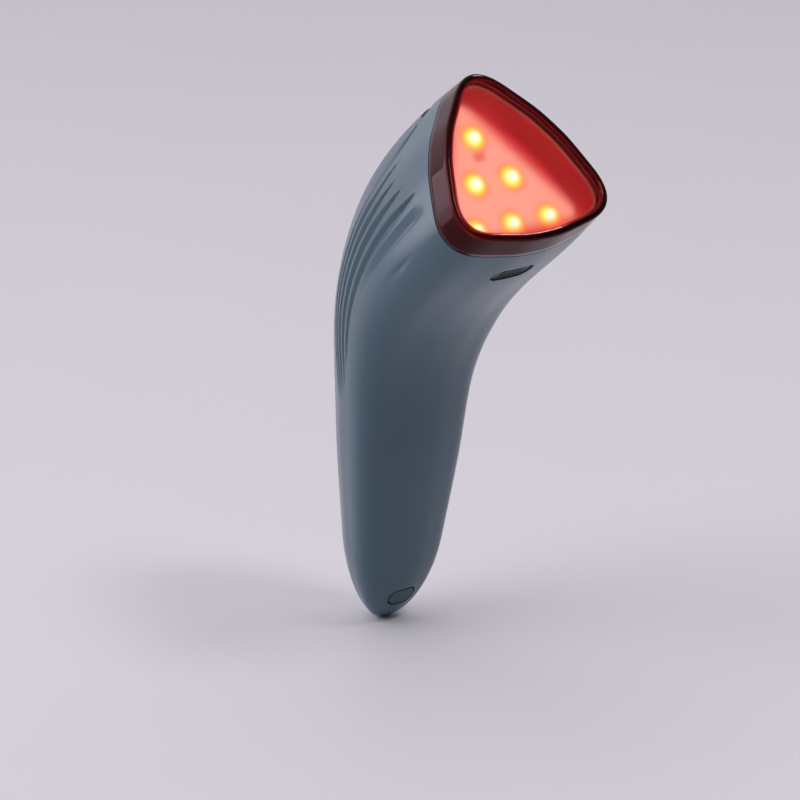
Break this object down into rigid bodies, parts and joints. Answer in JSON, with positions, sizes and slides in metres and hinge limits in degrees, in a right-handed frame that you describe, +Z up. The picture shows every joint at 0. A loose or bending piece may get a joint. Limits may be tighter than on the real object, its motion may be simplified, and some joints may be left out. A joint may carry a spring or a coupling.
{
  "type": "light therapy wand",
  "caption": "Curved hand-held skin care wand with a three-cornered red light head, fluted grip, vents, power button, blower and charging port.",
  "frame": {"origin": "the middle of the grip, on the housing's middle line where its bend ends", "axes": "+Z up along the grip with the wand held upright, -Y to the front, where the light face looks up and forwards, +X to the wand's right-hand side as seen from the front"},
  "size_m": [0.0618, 0.1022, 0.1929],
  "materials": {
    "slate_plastic": "slate blue moulded plastic, satin gloss",
    "red_lens": "deep red clear plastic, polished",
    "reflector": "red lit reflector, satin",
    "white_mask": "white lacquered circuit board",
    "led_lens": "lit lens, warm core",
    "dark_plastic": "dark grey moulded plastic",
    "soft_rubber": "soft slate blue rubber",
    "aluminium": "die cast, bare",
    "steel": "plated",
    "frame_plastic": "light grey moulded plastic",
    "circuit_board": "green circuit board",
    "copper": "enamelled copper winding",
    "cell_wrap": "shrink wrap over a steel can",
    "wire_red": "red insulated wire",
    "clear_plastic": "clear plastic"
  },
  "bodies": {
    "handle": {"handle_shell": "slate_plastic", "lens_cap": "red_lens", "light_well": "reflector", "led_board": "white_mask", "red_led_1": "led_lens", "red_led_2": "led_lens", "red_led_3": "led_lens", "red_led_4": "led_lens", "red_led_5": "led_lens", "red_led_6": "led_lens", "skin_sensor": "dark_plastic", "lens_seal": "soft_rubber", "heat_sink": "aluminium", "head_screw_1": "steel", "head_screw_2": "steel", "head_screw_3": "steel", "chassis": "frame_plastic", "blower_case": "dark_plastic", "blower_shaft": "steel", "blower_screw_1": "steel", "blower_screw_2": "steel", "main_board": "circuit_board", "board_screw_1": "steel", "board_screw_2": "steel", "driver_coil": "copper", "control_chip": "dark_plastic", "status_led": "clear_plastic", "status_light_pipe": "clear_plastic", "tact_switch": "dark_plastic", "front_vent_grille": "dark_plastic", "rear_vent_grille": "dark_plastic", "battery_cell": "cell_wrap", "battery_tab_head": "steel", "battery_tab_tail": "steel", "battery_pad": "soft_rubber", "charge_socket": "steel", "charge_board": "circuit_board", "led_cable": "wire_red", "blower_cable": "wire_red", "battery_cable": "wire_red", "charge_cable": "wire_red"},
    "power_button": {"power_button": "soft_rubber", "switch_plunger": "frame_plastic"},
    "blower_rotor": {"blower_rotor": "frame_plastic"},
    "port_cover": {"port_cover": "soft_rubber"}
  },
  "joints": [
    {"name": "button_press", "type": "slide", "parent": "handle", "child": "power_button", "axis": [0, -0.8595, -0.5111], "range_m": [0, 0.001], "stiffness_N_per_m": 400},
    {"name": "blower_spin", "type": "hinge", "parent": "handle", "child": "blower_rotor", "pos_m": [0, -0.04164, 0.07655], "axis": [0, -0.7782, 0.628], "continuous": true},
    {"name": "port_cover_swing", "type": "hinge", "parent": "handle", "child": "port_cover", "pos_m": [0, -0.0044, -0.0622], "axis": [-1, 0, 0], "range_deg": [0, 100]}
  ]
}
